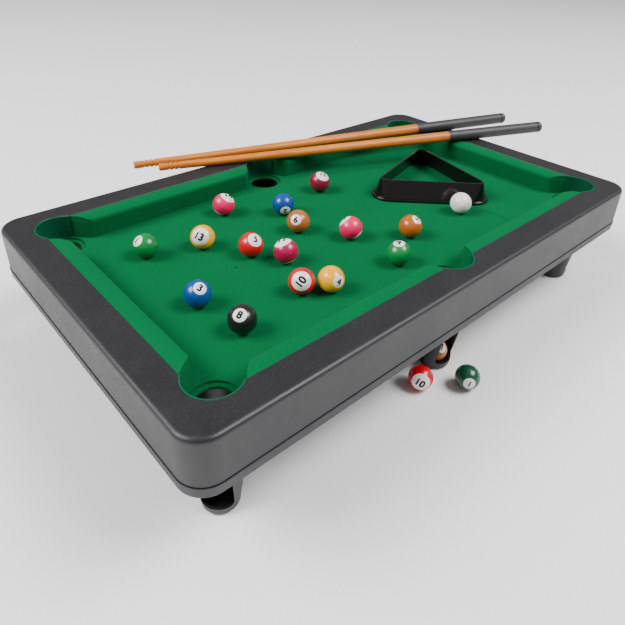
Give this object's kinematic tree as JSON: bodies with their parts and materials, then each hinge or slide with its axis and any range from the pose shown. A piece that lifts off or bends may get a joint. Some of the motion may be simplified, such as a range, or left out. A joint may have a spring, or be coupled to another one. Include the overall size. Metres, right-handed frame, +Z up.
{
  "type": "mini pool table",
  "caption": "Tabletop pool table with a flocked bed between cushions, ball cups under its pockets, a triangle rack, cues and balls.",
  "frame": {"origin": "centre of the playing surface, on the flocked top of the bed", "axes": "+X along the long side of the table, +Y towards the far long side where the cues lie, +Z up"},
  "size_m": [0.5876, 0.3582, 0.1198],
  "materials": {
    "black_plastic": "fine grained, satin",
    "cup_plastic": "satin",
    "bed_flock": "short flock",
    "cushion_flock": "short flock",
    "screw_steel": "zinc plated",
    "rack_plastic": "gloss",
    "cue_wood": "clear lacquer",
    "sleeve_plastic": "semi gloss",
    "ball_green": "polished",
    "ball_yellow": "polished",
    "ball_pink": "polished",
    "ball_blue": "polished",
    "ball_brown": "polished",
    "ball_red": "polished",
    "ball_magenta": "polished",
    "ball_maroon": "polished",
    "ball_orange": "polished",
    "ball_black": "polished",
    "ball_white": "polished"
  },
  "bodies": {
    "table": {"top_frame": "black_plastic", "base_tray": "black_plastic", "playing_bed": "bed_flock", "cushion_near_left": "cushion_flock", "cushion_near_right": "cushion_flock", "cushion_far_left": "cushion_flock", "cushion_far_right": "cushion_flock", "cushion_end_left": "cushion_flock", "cushion_end_right": "cushion_flock", "pocket_liner_near_left": "cushion_flock", "pocket_liner_near_middle": "cushion_flock", "pocket_liner_near_right": "cushion_flock", "pocket_liner_far_left": "cushion_flock", "pocket_liner_far_middle": "cushion_flock", "pocket_liner_far_right": "cushion_flock", "pocket_cup_near_left": "cup_plastic", "pocket_cup_near_middle": "cup_plastic", "pocket_cup_near_right": "cup_plastic", "pocket_cup_far_left": "cup_plastic", "pocket_cup_far_middle": "cup_plastic", "pocket_cup_far_right": "cup_plastic", "tray_screws": "screw_steel"},
    "rack": {"ball_rack": "rack_plastic"},
    "cue_back": {"cue_back_shaft": "cue_wood", "cue_back_butt_sleeve": "sleeve_plastic"},
    "cue_front": {"cue_front_shaft": "cue_wood", "cue_front_butt_sleeve": "sleeve_plastic"},
    "ball_green_1_body": {"ball_green_1": "ball_green"},
    "ball_yellow_13_body": {"ball_yellow_13": "ball_yellow"},
    "ball_pink_14_body": {"ball_pink_14": "ball_pink"},
    "ball_blue_2_body": {"ball_blue_2": "ball_blue"},
    "ball_brown_6_body": {"ball_brown_6": "ball_brown"},
    "ball_red_5_body": {"ball_red_5": "ball_red"},
    "ball_magenta_11_body": {"ball_magenta_11": "ball_magenta"},
    "ball_maroon_15_body": {"ball_maroon_15": "ball_maroon"},
    "ball_pink_12_body": {"ball_pink_12": "ball_pink"},
    "ball_orange_7_body": {"ball_orange_7": "ball_orange"},
    "ball_green_9_body": {"ball_green_9": "ball_green"},
    "ball_red_10_body": {"ball_red_10": "ball_red"},
    "ball_blue_3_body": {"ball_blue_3": "ball_blue"},
    "ball_black_8_body": {"ball_black_8": "ball_black"},
    "ball_yellow_4_body": {"ball_yellow_4": "ball_yellow"},
    "cue_ball_white_body": {"cue_ball_white": "ball_white"},
    "ball_red_10_spare_body": {"ball_red_10_spare": "ball_red"},
    "ball_green_1_spare_body": {"ball_green_1_spare": "ball_green"},
    "ball_brown_7_spare_body": {"ball_brown_7_spare": "ball_brown"}
  },
  "joints": [
    {"name": "rack_lift", "type": "slide", "parent": "table", "child": "rack", "axis": [0, 0, 1], "range_m": [0, 0.06]},
    {"name": "cue_back_lift", "type": "slide", "parent": "table", "child": "cue_back", "axis": [0, 0, 1], "range_m": [0, 0.05]},
    {"name": "cue_front_lift", "type": "slide", "parent": "table", "child": "cue_front", "axis": [0, 0, 1], "range_m": [0, 0.05]},
    {"name": "ball_green_1_lift", "type": "slide", "parent": "table", "child": "ball_green_1_body", "axis": [0, 0, 1], "range_m": [0, 0.05]},
    {"name": "ball_yellow_13_lift", "type": "slide", "parent": "table", "child": "ball_yellow_13_body", "axis": [0, 0, 1], "range_m": [0, 0.05]},
    {"name": "ball_pink_14_lift", "type": "slide", "parent": "table", "child": "ball_pink_14_body", "axis": [0, 0, 1], "range_m": [0, 0.05]},
    {"name": "ball_blue_2_lift", "type": "slide", "parent": "table", "child": "ball_blue_2_body", "axis": [0, 0, 1], "range_m": [0, 0.05]},
    {"name": "ball_brown_6_lift", "type": "slide", "parent": "table", "child": "ball_brown_6_body", "axis": [0, 0, 1], "range_m": [0, 0.05]},
    {"name": "ball_red_5_lift", "type": "slide", "parent": "table", "child": "ball_red_5_body", "axis": [0, 0, 1], "range_m": [0, 0.05]},
    {"name": "ball_magenta_11_lift", "type": "slide", "parent": "table", "child": "ball_magenta_11_body", "axis": [0, 0, 1], "range_m": [0, 0.05]},
    {"name": "ball_maroon_15_lift", "type": "slide", "parent": "table", "child": "ball_maroon_15_body", "axis": [0, 0, 1], "range_m": [0, 0.05]},
    {"name": "ball_pink_12_lift", "type": "slide", "parent": "table", "child": "ball_pink_12_body", "axis": [0, 0, 1], "range_m": [0, 0.05]},
    {"name": "ball_orange_7_lift", "type": "slide", "parent": "table", "child": "ball_orange_7_body", "axis": [0, 0, 1], "range_m": [0, 0.05]},
    {"name": "ball_green_9_lift", "type": "slide", "parent": "table", "child": "ball_green_9_body", "axis": [0, 0, 1], "range_m": [0, 0.05]},
    {"name": "ball_red_10_lift", "type": "slide", "parent": "table", "child": "ball_red_10_body", "axis": [0, 0, 1], "range_m": [0, 0.05]},
    {"name": "ball_blue_3_lift", "type": "slide", "parent": "table", "child": "ball_blue_3_body", "axis": [0, 0, 1], "range_m": [0, 0.05]},
    {"name": "ball_black_8_lift", "type": "slide", "parent": "table", "child": "ball_black_8_body", "axis": [0, 0, 1], "range_m": [0, 0.05]},
    {"name": "ball_yellow_4_lift", "type": "slide", "parent": "table", "child": "ball_yellow_4_body", "axis": [0, 0, 1], "range_m": [0, 0.05]},
    {"name": "cue_ball_white_lift", "type": "slide", "parent": "table", "child": "cue_ball_white_body", "axis": [0, 0, 1], "range_m": [0, 0.05]},
    {"name": "ball_red_10_spare_roll_away", "type": "slide", "parent": "table", "child": "ball_red_10_spare_body", "axis": [0, -1, 0], "range_m": [0, 0.06]},
    {"name": "ball_green_1_spare_roll_away", "type": "slide", "parent": "table", "child": "ball_green_1_spare_body", "axis": [0, -1, 0], "range_m": [0, 0.06]},
    {"name": "ball_brown_7_spare_lift", "type": "slide", "parent": "table", "child": "ball_brown_7_spare_body", "axis": [0, 0, 1], "range_m": [0, 0.14]}
  ]
}
